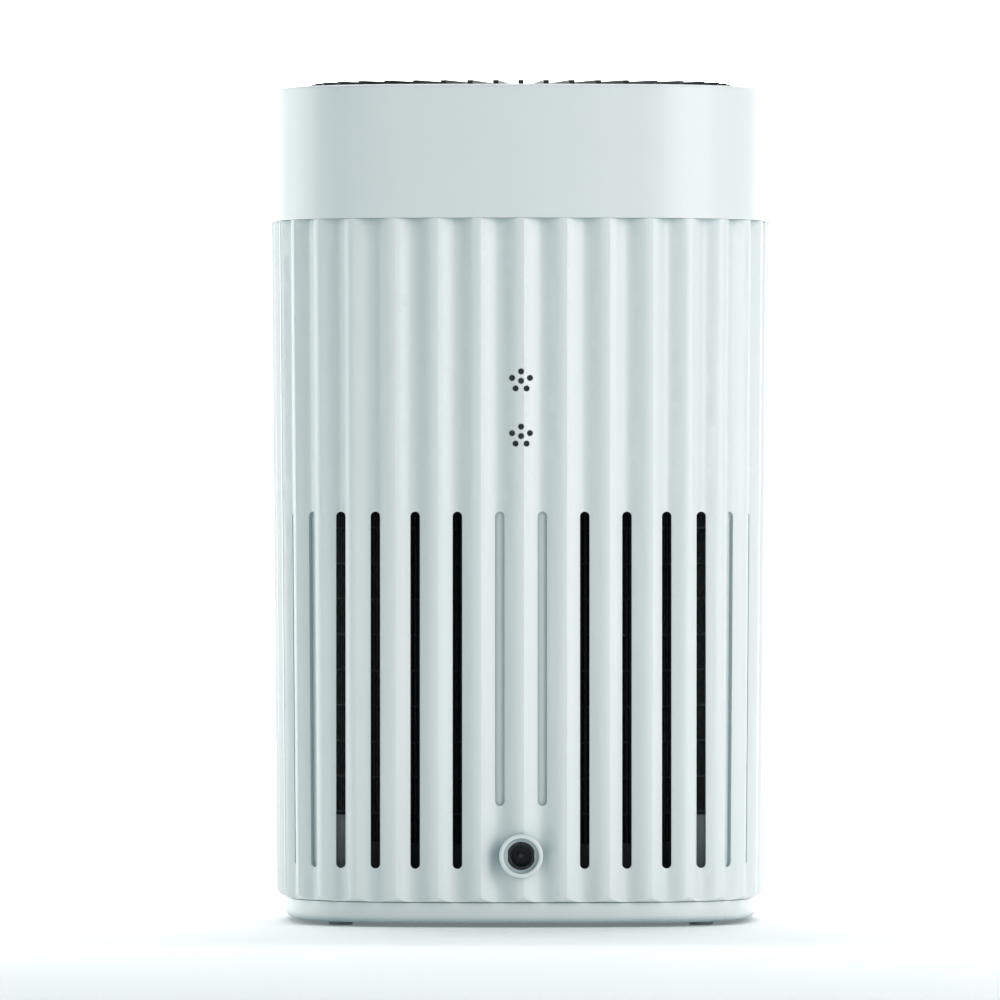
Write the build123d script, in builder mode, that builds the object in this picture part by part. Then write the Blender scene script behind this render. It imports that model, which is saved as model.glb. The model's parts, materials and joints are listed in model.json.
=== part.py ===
from build123d import *
import math
import os

os.makedirs("parts", exist_ok=True)

# ---------------------------------------------------------------- dimensions
# Frame: +Z up, z = 0 on the surface the feet stand on, +Y is the rear face
# (the face with the power inlet), -Y is the front.

# plan outline: a rounded square of four face arcs and four corner arcs
RIDGE_HALF = 107.1          # half width over the flute ridges at the seam
FACE_R = 329.0              # radius of each face arc
CORNER_R = 59.8             # radius of each corner arc
FLUTES = 40                 # flutes round the body, a ridge on each face centre
FLUTE_DEPTH = 3.6           # ridge to valley
DRAFT = 2.4                 # how far the body tapers in, seam to bottom edge

# heights
FOOT_DROP = 1.8             # feet stand proud of the plinth
PLINTH_TOP = 20.4
BODY_BOTTOM = 10.7
SEAM_Z = 298.6              # body to collar seam
COLLAR_TOP = 355.0
RIB_TOP = 357.2

# wall and slots
WALL_INSET = 5.8            # ridge line to the inside face of the body
SLOT_W = 4.0
SLOT_LOW, SLOT_HIGH = 24.7, 175.1
SHORT_LOW = 51.3            # lower end of the two blind grooves over the inlet
BLIND_DEPTH = 1.1
THROUGH = [2, 3, 4, 5, 8, 9, 10, 11, 12, 13, 16, 17, 18, 19, 20]
BLIND = [6, 7, 14, 15]

# sensor vents and power inlet, on the rear ridge
VENT_Z = (206.9, 230.1)
VENT_HOLE_R = 1.28
VENT_PITCH_R = 3.95
INLET_Z = 30.3
BOSS_R = 9.3
BOSS_FACE_Y = 107.3
CBORE_R = 7.4
CBORE_DEPTH = 3.4
JACK_R = 6.0
JACK_FLAT = 5.6             # half the distance over the two flats

# plinth, door and feet
PLINTH_INSET = 6.1          # ridge line to the plinth side
DOOR_R = 87.6
OPENING_R = 88.1
DETENT_R = 88.0             # crown of the three snap ribs on the door rim
FOOT_X, FOOT_Y, FOOT_R = 76.4, 66.0, 5.35

# air path
DECK_Z = 190.0
SHROUD_R = 85.0
INLET_R = 46.0
IMPELLER_R = 74.0
BLADES = 11
RIBS = 54
RIB_T = 2.3
GRILLE_INSET = 15.4
HUB_R = 36.4

# lead from the inlet, where it passes the deck
LEAD_X, LEAD_Y = -18.0, 93.0

# filter cartridge
FILTER_R = 84.4
FILTER_CORE_R = 49.0
FILTER_LOW, FILTER_HIGH = 14.0, 186.0

# ------------------------------------------------------- plan outline geometry
A = RIDGE_HALF
_t = math.asin((FACE_R - A) / (FACE_R - CORNER_R) / math.sqrt(2.0))
SPAN = math.pi / 4 - _t                       # half angle of a face arc
CORNER_C = (FACE_R - CORNER_R) * math.sin(SPAN)
L_FACE = FACE_R * SPAN
L_CORNER = CORNER_R * (math.pi / 2 - 2 * SPAN)
QUARTER = 2 * L_FACE + L_CORNER
PITCH = 4 * QUARTER / FLUTES


def on_outline(phi, inset=0.0):
    """Point of the plan outline whose normal points at phi from +Y to +X."""
    k = math.floor((phi + SPAN) / (math.pi / 2))
    local = phi - k * math.pi / 2
    nx, ny = math.sin(phi), math.cos(phi)
    if local <= SPAN + 1e-9:
        m = k * math.pi / 2
        cx, cy = -(FACE_R - A) * math.sin(m), -(FACE_R - A) * math.cos(m)
        r = FACE_R
    else:
        m = k * math.pi / 2 + math.pi / 4
        cx = CORNER_C * math.sqrt(2) * math.sin(m)
        cy = CORNER_C * math.sqrt(2) * math.cos(m)
        r = CORNER_R
    return (cx + (r - inset) * nx, cy + (r - inset) * ny)


def normal_at(s):
    """Normal angle at arc length s along the ridge line from the rear centre."""
    k = math.floor((s + L_FACE) / QUARTER)
    t = s - k * QUARTER
    if t <= L_FACE:
        return k * math.pi / 2 + t / FACE_R
    return k * math.pi / 2 + SPAN + (t - L_FACE) / CORNER_R


def plan_outline(inset):
    """Closed rounded square, moved in by inset; for use inside BuildLine."""
    for k in range(4):
        f = k * math.pi / 2
        ThreePointArc(on_outline(f - SPAN, inset), on_outline(f, inset),
                      on_outline(f + SPAN, inset))
        ThreePointArc(on_outline(f + SPAN, inset),
                      on_outline(f + math.pi / 4, inset),
                      on_outline(f + math.pi / 2 - SPAN, inset))


def fluted_edges(inset):
    """Closed wave round the body, ridges on the outline moved in by inset.

    One curve per flute, from ridge to ridge, square to the ridge normals."""
    per = 12
    edges = []
    for k in range(FLUTES):
        pts = []
        for i in range(per + 1):
            s = (k + i / per) * PITCH
            wave = (1 - math.cos(2 * math.pi * i / per)) / 2
            # ridges are a little broader than the valleys
            wave = wave ** 1.15
            pts.append(on_outline(normal_at(s), inset + FLUTE_DEPTH * wave))
        n0, n1 = normal_at(k * PITCH), normal_at((k + 1) * PITCH)
        edges.append(Spline(*pts, tangents=((math.cos(n0), -math.sin(n0)),
                                            (math.cos(n1), -math.sin(n1)))))
    return edges


def taper(z):
    """How far the body has tapered in at height z."""
    return DRAFT * (SEAM_Z - z) / (SEAM_Z - BODY_BOTTOM)


def valley_plane(k, z, depth):
    """Plane in valley k (signed), facing out, depth behind the ridge line."""
    s = math.copysign(abs(k) - 0.5, k) * PITCH
    phi = normal_at(s)
    x, y = on_outline(phi, taper(z) + depth)
    lean = math.atan(DRAFT / (SEAM_Z - BODY_BOTTOM))
    zd = (math.sin(phi) * math.cos(lean), math.cos(phi) * math.cos(lean),
          -math.sin(lean))
    xd = (-math.cos(phi), math.sin(phi), 0)
    return Plane(origin=(x, y, z), x_dir=xd, z_dir=zd)


def pull_plane(k, z, clear):
    """Plane over valley k (signed), square to the nearest face of the body
    and clear of the ridges, in the direction the mould half draws."""
    s = math.copysign(abs(k) - 0.5, k) * PITCH
    x, y = on_outline(normal_at(s), taper(z) + FLUTE_DEPTH)
    if abs(y) > abs(x):
        zd = (0, math.copysign(1, y), 0)
    else:
        zd = (math.copysign(1, x), 0, 0)
    return Plane(origin=(x + zd[0] * (FLUTE_DEPTH + clear),
                         y + zd[1] * (FLUTE_DEPTH + clear), z),
                 x_dir=(-zd[1], zd[0], 0), z_dir=zd)


# ============================================================ outer casings
# envelope that rounds the bottom edge of the flutes
with BuildPart() as body_envelope:
    with BuildSketch(Plane.XY.offset(BODY_BOTTOM)):
        with BuildLine():
            plan_outline(DRAFT - 0.3)
        make_face()
    with BuildSketch(Plane.XY.offset(SEAM_Z + 12)):
        with BuildLine():
            plan_outline(-0.4)
        make_face()
    loft(ruled=True)
    fillet(body_envelope.edges().group_by(Axis.Z)[0], radius=3.7)

# slots and grooves, all round; the slots are cut square to the mould halves
with BuildPart() as slot_cutters:
    mid = (SLOT_LOW + SLOT_HIGH) / 2
    for k in THROUGH:
        for side in (1, -1):
            with BuildSketch(pull_plane(side * k, mid, 3.0)):
                SlotOverall(SLOT_HIGH - SLOT_LOW, SLOT_W, rotation=90)
            extrude(amount=-16)
    for k in BLIND:
        for side in (1, -1):
            with BuildSketch(valley_plane(side * k, mid,
                                          FLUTE_DEPTH + BLIND_DEPTH)):
                SlotOverall(SLOT_HIGH - SLOT_LOW, SLOT_W, rotation=90)
            extrude(amount=8)
    for side in (1, -1):
        m = (SHORT_LOW + SLOT_HIGH) / 2
        with BuildSketch(valley_plane(side, m, FLUTE_DEPTH + BLIND_DEPTH)):
            SlotOverall(SLOT_HIGH - SHORT_LOW, SLOT_W, rotation=90)
        extrude(amount=8)

# body shell
wave_low = Wire(fluted_edges(DRAFT)).moved(Location((0, 0, BODY_BOTTOM)))
wave_high = Wire(fluted_edges(0)).moved(Location((0, 0, SEAM_Z)))
fluted_block = Solid.make_loft([wave_low, wave_high], ruled=True)
with BuildPart() as fluted_housing:
    add(fluted_block)
    add(body_envelope.part, mode=Mode.INTERSECT)
    # hollow
    with BuildSketch(Plane.XY.offset(BODY_BOTTOM - 1)):
        with BuildLine():
            plan_outline(WALL_INSET + DRAFT + 0.008)
        make_face()
    with BuildSketch(Plane.XY.offset(SEAM_Z + 1)):
        with BuildLine():
            plan_outline(WALL_INSET - 0.008)
        make_face()
    loft(ruled=True, mode=Mode.SUBTRACT)
    # neck that locates the collar
    with BuildSketch(Plane.XY.offset(SEAM_Z - 4)):
        with BuildLine():
            plan_outline(5.0)
        make_face()
        with BuildLine():
            plan_outline(7.4)
        make_face(mode=Mode.SUBTRACT)
    extrude(amount=14)
    # ledge that carries the fan deck
    with BuildSketch(Plane.XY.offset(DECK_Z - 3.2)):
        with BuildLine():
            plan_outline(5.4)
        make_face()
        with BuildLine():
            plan_outline(12.5)
        make_face(mode=Mode.SUBTRACT)
        with PolarLocations(108.5, 4, start_angle=45):
            Circle(4.6)
            Circle(1.55, mode=Mode.SUBTRACT)
        with Locations((LEAD_X, LEAD_Y)):
            Circle(3.2, mode=Mode.SUBTRACT)
    extrude(amount=3.0)
    # screw pillars over the feet, each tied to the wall by a web
    for sx in (1, -1):
        for sy in (1, -1):
            with BuildSketch(Plane.XY.offset(PLINTH_TOP + 0.2)):
                with Locations((sx * FOOT_X, sy * FOOT_Y)):
                    Circle(4.4)
                ang = math.degrees(math.atan2(sy * FOOT_Y, sx * FOOT_X))
                with Locations((sx * (FOOT_X + 5.6), sy * (FOOT_Y + 4.8))):
                    Rectangle(12.5, 2.4, rotation=ang)
            extrude(amount=26)
    for sx in (1, -1):
        for sy in (1, -1):
            with BuildSketch(Plane.XY.offset(PLINTH_TOP)):
                with Locations((sx * FOOT_X, sy * FOOT_Y)):
                    Circle(1.55)
            extrude(amount=18, mode=Mode.SUBTRACT)
    # inlet boss
    with BuildSketch(Plane(origin=(0, BOSS_FACE_Y, INLET_Z), x_dir=(-1, 0, 0),
                           z_dir=(0, 1, 0))):
        Circle(BOSS_R)
    extrude(amount=-9.5)
    fillet(fluted_housing.edges().filter_by(GeomType.CIRCLE)
           .filter_by(lambda e: abs(e.radius - BOSS_R) < 0.01)
           .sort_by(Axis.Y)[-1], radius=0.9)
    with BuildSketch(Plane(origin=(0, BOSS_FACE_Y, INLET_Z), x_dir=(-1, 0, 0),
                           z_dir=(0, 1, 0))):
        Circle(CBORE_R)
    extrude(amount=-CBORE_DEPTH, mode=Mode.SUBTRACT)
    fillet(fluted_housing.edges().filter_by(GeomType.CIRCLE)
           .filter_by(lambda e: abs(e.radius - CBORE_R) < 0.01)
           .sort_by(Axis.Y)[-1], radius=0.6)
    with BuildSketch(Plane(origin=(0, BOSS_FACE_Y, INLET_Z), x_dir=(-1, 0, 0),
                           z_dir=(0, 1, 0))):
        Circle(JACK_R)
        Rectangle(2 * JACK_FLAT, 2 * JACK_R + 2, mode=Mode.INTERSECT)
    extrude(amount=-20, mode=Mode.SUBTRACT)
    # two clusters of six sensor holes, point up
    for zc in VENT_Z:
        with BuildSketch(Plane(origin=(0, 112, zc), x_dir=(-1, 0, 0),
                               z_dir=(0, 1, 0))):
            Circle(VENT_HOLE_R)
            with PolarLocations(VENT_PITCH_R, 5, start_angle=90):
                Circle(VENT_HOLE_R)
        extrude(amount=-20, mode=Mode.SUBTRACT)
    add(slot_cutters.part, mode=Mode.SUBTRACT)
fluted_housing.part.label = "fluted_housing"
export_step(fluted_housing.part, "parts/fluted_housing.step")

# smooth collar round the top
with BuildPart() as top_collar:
    with BuildSketch(Plane.XY.offset(SEAM_Z + 0.1)):
        with BuildLine():
            plan_outline(0.0)
        make_face()
    with BuildSketch(Plane.XY.offset(COLLAR_TOP)):
        with BuildLine():
            plan_outline(-0.4)
        make_face()
    loft(ruled=True)
    fillet(top_collar.edges().group_by(Axis.Z)[-1], radius=1.3)
    with BuildSketch(Plane.XY.offset(SEAM_Z + 3.2)):
        with BuildLine():
            plan_outline(2.8)
        make_face()
    extrude(until=None, amount=COLLAR_TOP - 2.6 - SEAM_Z - 3.2,
            mode=Mode.SUBTRACT)
    with BuildSketch(Plane.XY.offset(SEAM_Z - 1)):
        with BuildLine():
            plan_outline(4.9)
        make_face()
    extrude(amount=10, mode=Mode.SUBTRACT)
    with BuildSketch(Plane.XY.offset(COLLAR_TOP - 3)):
        with BuildLine():
            plan_outline(GRILLE_INSET)
        make_face()
    extrude(amount=6, mode=Mode.SUBTRACT)
    # inner lip that carries the grille
    with BuildSketch(Plane.XY.offset(340)):
        with BuildLine():
            plan_outline(GRILLE_INSET - 2.2)
        make_face()
        with BuildLine():
            plan_outline(GRILLE_INSET)
        make_face(mode=Mode.SUBTRACT)
    extrude(amount=COLLAR_TOP - 1.3 - 340)
    with BuildSketch(Plane.XY.offset(338)):
        with BuildLine():
            plan_outline(GRILLE_INSET - 2.2)
        make_face()
        with BuildLine():
            plan_outline(GRILLE_INSET + 2.0)
        make_face(mode=Mode.SUBTRACT)
    extrude(amount=2.2)
    # soften the inner edge of the rim
    fillet(top_collar.edges().filter_by(Plane.XY)
           .filter_by(lambda e: abs(e.center().Z - COLLAR_TOP) < 0.01
                      and min(math.dist((e.position_at(0.5).X, e.position_at(0.5).Y),
                                        on_outline(i * math.pi / 4, GRILLE_INSET))
                              for i in range(8)) < 0.2), radius=0.8)
top_collar.part.label = "top_collar"
export_step(top_collar.part, "parts/top_collar.step")

# plinth under the body
with BuildPart() as base_plinth:
    with BuildSketch(Plane.XY.offset(FOOT_DROP)):
        with BuildLine():
            plan_outline(PLINTH_INSET)
        make_face()
    extrude(amount=BODY_BOTTOM - 0.3 - FOOT_DROP)
    fillet(base_plinth.edges().group_by(Axis.Z)[0], radius=2.8)
    with BuildSketch(Plane.XY.offset(BODY_BOTTOM - 0.3)):
        with BuildLine():
            plan_outline(WALL_INSET + DRAFT + 0.6)
        make_face()
    extrude(amount=PLINTH_TOP - BODY_BOTTOM + 0.3)
    # round opening for the door, chamfered where the door snaps in
    with BuildSketch(Plane.XY.offset(FOOT_DROP - 1)):
        Circle(OPENING_R)
    extrude(amount=PLINTH_TOP + 2, mode=Mode.SUBTRACT)
    # foot seats and screw holes behind them
    for sx in (1, -1):
        for sy in (1, -1):
            with BuildSketch(Plane.XY.offset(FOOT_DROP - 1)):
                with Locations((sx * FOOT_X, sy * FOOT_Y)):
                    Circle(FOOT_R + 0.05)
            extrude(amount=2.4, mode=Mode.SUBTRACT)
            with BuildSketch(Plane.XY.offset(FOOT_DROP)):
                with Locations((sx * FOOT_X, sy * FOOT_Y)):
                    Circle(3.3)
            extrude(amount=14, mode=Mode.SUBTRACT)
            with BuildSketch(Plane.XY.offset(FOOT_DROP)):
                with Locations((sx * FOOT_X, sy * FOOT_Y)):
                    Circle(1.8)
            extrude(amount=30, mode=Mode.SUBTRACT)
base_plinth.part.label = "base_plinth"
export_step(base_plinth.part, "parts/base_plinth.step")

# four rubber feet
with BuildPart() as rubber_feet:
    for sx in (1, -1):
        for sy in (1, -1):
            with BuildSketch(Plane.XY):
                with Locations((sx * FOOT_X, sy * FOOT_Y)):
                    Circle(FOOT_R - 0.35)
            with BuildSketch(Plane.XY.offset(3.15)):
                with Locations((sx * FOOT_X, sy * FOOT_Y)):
                    Circle(FOOT_R)
            loft(ruled=True)
    fillet(rubber_feet.edges().group_by(Axis.Z)[0], radius=0.4)
rubber_feet.part.label = "rubber_feet"
export_step(rubber_feet.part, "parts/rubber_feet.step")

# four screws from the plinth up into the body
with BuildPart() as plinth_screws:
    for sx in (1, -1):
        for sy in (1, -1):
            with BuildSketch(Plane.XY.offset(13.4)):
                with Locations((sx * FOOT_X, sy * FOOT_Y)):
                    Circle(3.0)
            extrude(amount=2.35)
            with BuildSketch(Plane.XY.offset(15.5)):
                with Locations((sx * FOOT_X, sy * FOOT_Y)):
                    Circle(1.5)
            extrude(amount=22)
            with BuildSketch(Plane.XY.offset(13.4)):
                with Locations((sx * FOOT_X, sy * FOOT_Y)):
                    Rectangle(3.2, 0.8)
                    Rectangle(0.8, 3.2)
            extrude(amount=1.2, mode=Mode.SUBTRACT)
plinth_screws.part.label = "plinth_screws"
export_step(plinth_screws.part, "parts/plinth_screws.step")

# ============================================================ bottom door
with BuildPart() as filter_door:
    with BuildSketch(Plane.XY.offset(2.6)):
        Circle(DOOR_R)
    extrude(amount=2.6)
    fillet(filter_door.edges().group_by(Axis.Z)[0], radius=0.8)
    with BuildSketch(Plane.XY.offset(5.2)):
        Circle(DOOR_R - 0.6)
        Circle(DOOR_R - 3.0, mode=Mode.SUBTRACT)
    extrude(amount=6.0)
    # three snap ribs that hold the door by friction
    with BuildSketch(Plane.XY.offset(7.2)):
        with PolarLocations(DOOR_R - 1.2, 3, start_angle=90):
            Rectangle(2.0, 22.0)
        Circle(DETENT_R, mode=Mode.INTERSECT)
        Circle(DOOR_R - 2.0, mode=Mode.SUBTRACT)
    extrude(amount=2.0)
    # finger well: a round dish with a grip bar left standing across it
    with BuildSketch(Plane.XY.offset(2.0)):
        Circle(33)
    extrude(amount=10, mode=Mode.SUBTRACT)
    with BuildSketch(Plane.XY.offset(2.6)):
        Circle(35)
        Circle(33, mode=Mode.SUBTRACT)
    extrude(amount=8.0)
    with BuildSketch(Plane.XY.offset(9.2)):
        Circle(35)
    extrude(amount=1.6)
    with BuildSketch(Plane.XY.offset(3.0)):
        SlotOverall(68.5, 9.0)
        Circle(34, mode=Mode.INTERSECT)
    extrude(amount=7.0)
    fillet(filter_door.edges().filter_by(GeomType.LINE).filter_by(Axis.X)
           .group_by(Axis.Z)[0], radius=1.2)
filter_door.part.label = "filter_door"
export_step(filter_door.part, "parts/filter_door.step")

# ============================================================ filter cartridge
with BuildPart() as filter_bottom_cap:
    with BuildSketch(Plane.XY.offset(FILTER_LOW)):
        Circle(FILTER_R)
    extrude(amount=2.4)
    with BuildSketch(Plane.XY.offset(FILTER_LOW + 2.4)):
        Circle(FILTER_R)
        Circle(FILTER_R - 2.0, mode=Mode.SUBTRACT)
        Circle(FILTER_CORE_R + 1.5)
        Circle(FILTER_CORE_R - 0.4, mode=Mode.SUBTRACT)
    extrude(amount=18.2)
    fillet(filter_bottom_cap.edges().group_by(Axis.Z)[0], radius=1.2)
filter_bottom_cap.part.label = "filter_bottom_cap"
export_step(filter_bottom_cap.part, "parts/filter_bottom_cap.step")

with BuildPart() as filter_top_cap:
    with BuildSketch(Plane.XY.offset(FILTER_HIGH - 2.4)):
        Circle(FILTER_R)
        Circle(FILTER_CORE_R - 2.0, mode=Mode.SUBTRACT)
    extrude(amount=2.4)
    with BuildSketch(Plane.XY.offset(FILTER_HIGH - 10)):
        Circle(FILTER_R)
        Circle(FILTER_R - 2.0, mode=Mode.SUBTRACT)
        Circle(FILTER_CORE_R)
        Circle(FILTER_CORE_R - 2.0, mode=Mode.SUBTRACT)
    extrude(amount=7.6)
    fillet(filter_top_cap.edges().group_by(Axis.Z)[-1], radius=1.0)
filter_top_cap.part.label = "filter_top_cap"
export_step(filter_top_cap.part, "parts/filter_top_cap.step")

with BuildPart() as filter_media:
    with BuildSketch(Plane.XY.offset(FILTER_LOW + 2.6)):
        Circle(FILTER_R - 3.2)
        Circle(FILTER_CORE_R + 3.4, mode=Mode.SUBTRACT)
    extrude(amount=FILTER_HIGH - 2.6 - FILTER_LOW - 2.6)
filter_media.part.label = "filter_media"
export_step(filter_media.part, "parts/filter_media.step")

with BuildPart() as prefilter_sleeve:
    with BuildSketch(Plane.XY.offset(FILTER_LOW + 2.6)):
        Circle(FILTER_R - 2.2)
        Circle(FILTER_R - 3.1, mode=Mode.SUBTRACT)
    extrude(amount=FILTER_HIGH - 2.6 - FILTER_LOW - 2.6)
prefilter_sleeve.part.label = "prefilter_sleeve"
export_step(prefilter_sleeve.part, "parts/prefilter_sleeve.step")

with BuildPart() as carbon_core:
    with BuildSketch(Plane.XY.offset(FILTER_LOW + 2.6)):
        Circle(FILTER_CORE_R + 3.2)
        Circle(FILTER_CORE_R + 1.7, mode=Mode.SUBTRACT)
    extrude(amount=FILTER_HIGH - 2.6 - FILTER_LOW - 2.6)
carbon_core.part.label = "carbon_core"
export_step(carbon_core.part, "parts/carbon_core.step")

with BuildPart() as filter_gasket:
    with BuildSketch(Plane.XY.offset(FILTER_HIGH)):
        Circle(66)
        Circle(58, mode=Mode.SUBTRACT)
    extrude(amount=3.4)
    fillet(filter_gasket.edges().group_by(Axis.Z)[-1], radius=1.4)
filter_gasket.part.label = "filter_gasket"
export_step(filter_gasket.part, "parts/filter_gasket.step")

with BuildPart() as filter_pull_tab:
    with BuildSketch(Plane.XY.offset(12.3)):
        RectangleRounded(64, 14, 1.5)
    extrude(amount=0.9)
    with BuildSketch(Plane.XY.offset(13.2)):
        with Locations((-27, 0), (27, 0)):
            RectangleRounded(10, 14, 1.5)
    extrude(amount=0.8)
filter_pull_tab.part.label = "filter_pull_tab"
export_step(filter_pull_tab.part, "parts/filter_pull_tab.step")

# ============================================================ fan section
with BuildPart() as fan_deck:
    with BuildSketch(Plane.XY.offset(DECK_Z)):
        with BuildLine():
            plan_outline(7.2)
        make_face()
        Circle(INLET_R, mode=Mode.SUBTRACT)
        with Locations((LEAD_X, LEAD_Y)):
            Circle(3.2, mode=Mode.SUBTRACT)
        with PolarLocations(108.5, 4, start_angle=45):
            Circle(1.9, mode=Mode.SUBTRACT)
    extrude(amount=3.0)
    # bell mouth
    with BuildSketch(Plane.XZ):
        with BuildLine():
            Polyline((INLET_R - 0.5, DECK_Z), (INLET_R + 4, DECK_Z),
                     (INLET_R + 4, DECK_Z + 3), (INLET_R - 0.6, DECK_Z + 12),
                     (INLET_R - 2.4, DECK_Z + 12), (INLET_R - 2.4, DECK_Z + 7),
                     (INLET_R - 0.5, DECK_Z))
        make_face()
    revolve(axis=Axis.Z)
fan_deck.part.label = "fan_deck"
export_step(fan_deck.part, "parts/fan_deck.step")

with BuildPart() as deck_screws:
    with BuildSketch(Plane.XY.offset(DECK_Z + 3.0)):
        with PolarLocations(108.5, 4, start_angle=45):
            Circle(3.2)
    extrude(amount=2.0)
    with BuildSketch(Plane.XY.offset(DECK_Z + 0.2)):
        with PolarLocations(108.5, 4, start_angle=45):
            Circle(1.5)
    extrude(amount=3.0)
    with BuildSketch(Plane.XY.offset(DECK_Z + 5.0)):
        with PolarLocations(108.5, 4, start_angle=45):
            Rectangle(3.4, 0.8)
            Rectangle(0.8, 3.4)
    extrude(amount=-1.0, mode=Mode.SUBTRACT)
deck_screws.part.label = "deck_screws"
export_step(deck_screws.part, "parts/deck_screws.step")

# finger guard over the fan eye, seen when the cartridge is out
with BuildPart() as inlet_guard:
    with BuildSketch(Plane.XY.offset(DECK_Z - 1.9)):
        Circle(INLET_R + 4)
        Circle(INLET_R + 0.5, mode=Mode.SUBTRACT)
        for r in (8.0, 17.5, 27.0, 36.5):
            Circle(r + 0.9)
            Circle(r - 0.9, mode=Mode.SUBTRACT)
        with PolarLocations(0, 6):
            with Locations((27.5, 0)):
                Rectangle(38.5, 1.8)
    extrude(amount=1.8)
inlet_guard.part.label = "inlet_guard"
export_step(inlet_guard.part, "parts/inlet_guard.step")

with BuildPart() as fan_shroud:
    with BuildSketch(Plane.XY.offset(DECK_Z + 3.1)):
        Circle(SHROUD_R)
        Circle(SHROUD_R - 2.2, mode=Mode.SUBTRACT)
    extrude(amount=144)
    with BuildSketch(Plane.XY.offset(DECK_Z + 3.1)):
        Circle(SHROUD_R + 3.0)
        Circle(SHROUD_R - 1.0, mode=Mode.SUBTRACT)
    extrude(amount=2.2)
    # holes for the motor and control leads
    ex = math.cos(math.radians(135))
    with BuildSketch(Plane(origin=(0, 0, 291.0), x_dir=(0, 0, 1),
                           z_dir=(ex, -ex, 0))):
        Circle(2.4)
    extrude(amount=100, mode=Mode.SUBTRACT)
    with BuildSketch(Plane(origin=(0, 0, 300.0), x_dir=(0, 0, 1),
                           z_dir=(ex, -ex, 0))):
        Circle(2.4)
    extrude(amount=100, mode=Mode.SUBTRACT)
fan_shroud.part.label = "fan_shroud"
export_step(fan_shroud.part, "parts/fan_shroud.step")

# one backward-curved blade
with BuildSketch() as blade_face:
    with BuildLine():
        a0, a1 = 0.0, -42.0
        ThreePointArc(
            (40 * math.cos(math.radians(a0)), 40 * math.sin(math.radians(a0))),
            (59 * math.cos(math.radians(-14)), 59 * math.sin(math.radians(-14))),
            (73.5 * math.cos(math.radians(a1)), 73.5 * math.sin(math.radians(a1))))
        ThreePointArc(
            (73.5 * math.cos(math.radians(a1 - 1.2)), 73.5 * math.sin(math.radians(a1 - 1.2))),
            (58 * math.cos(math.radians(-16.6)), 58 * math.sin(math.radians(-16.6))),
            (40 * math.cos(math.radians(-2.8)), 40 * math.sin(math.radians(-2.8))))
        Line((40 * math.cos(math.radians(a0)), 40 * math.sin(math.radians(a0))),
             (40 * math.cos(math.radians(-2.8)), 40 * math.sin(math.radians(-2.8))))
        Line((73.5 * math.cos(math.radians(a1)), 73.5 * math.sin(math.radians(a1))),
             (73.5 * math.cos(math.radians(a1 - 1.2)), 73.5 * math.sin(math.radians(a1 - 1.2))))
    make_face()

with BuildPart() as blade_envelope:
    with BuildSketch(Plane.XZ):
        with BuildLine():
            Polyline((38, 203.6), (49.5, 203.6), (74.2, 216.6), (74.2, 245),
                     (38, 245), (38, 203.6))
        make_face()
    revolve(axis=Axis.Z)

with BuildPart() as impeller:
    with BuildSketch(Plane.XY.offset(203.0)):
        with PolarLocations(0, BLADES):
            add(blade_face.sketch)
    extrude(amount=42)
    add(blade_envelope.part, mode=Mode.INTERSECT)
    # lower shroud ring
    with BuildSketch(Plane.XZ):
        with BuildLine():
            Polyline((47.6, 199.5), (49.4, 199.5), (49.8, 203.0),
                     (IMPELLER_R, 215.6), (IMPELLER_R, 217.6),
                     (49.0, 205.2), (47.6, 203.0), (47.6, 199.5))
        make_face()
    revolve(axis=Axis.Z)
    # back plate and hub
    with BuildSketch(Plane.XY.offset(243.0)):
        Circle(IMPELLER_R)
    extrude(amount=2.4)
    with BuildSketch(Plane.XZ):
        with BuildLine():
            Polyline((0, 234), (9.5, 234), (12, 240), (34, 243.5), (34, 244.5),
                     (0, 244.5), (0, 234))
        make_face()
    revolve(axis=Axis.Z)
    with BuildSketch(Plane.XY.offset(245.0)):
        Circle(9.5)
    extrude(amount=3.5)
    with BuildSketch(Plane.XY.offset(230)):
        Circle(2.55)
    extrude(amount=30, mode=Mode.SUBTRACT)
impeller.part.label = "impeller"
export_step(impeller.part, "parts/impeller.step")

with BuildPart() as motor_shaft:
    with BuildSketch(Plane.XY.offset(226.5)):
        Circle(2.5)
    extrude(amount=53.5)
    with BuildSketch(Plane.XY.offset(248.6)):
        Circle(4.2)
    extrude(amount=1.0)
    # rotor
    with BuildSketch(Plane.XY.offset(257.6)):
        Circle(11.8)
    extrude(amount=15.4)
motor_shaft.part.label = "motor_shaft"
export_step(motor_shaft.part, "parts/motor_shaft.step")

with BuildPart() as impeller_nut:
    with BuildSketch(Plane.XY.offset(229.4)):
        RegularPolygon(4.6, 6)
        Circle(2.5, mode=Mode.SUBTRACT)
    extrude(amount=4.6)
impeller_nut.part.label = "impeller_nut"
export_step(impeller_nut.part, "parts/impeller_nut.step")

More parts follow.
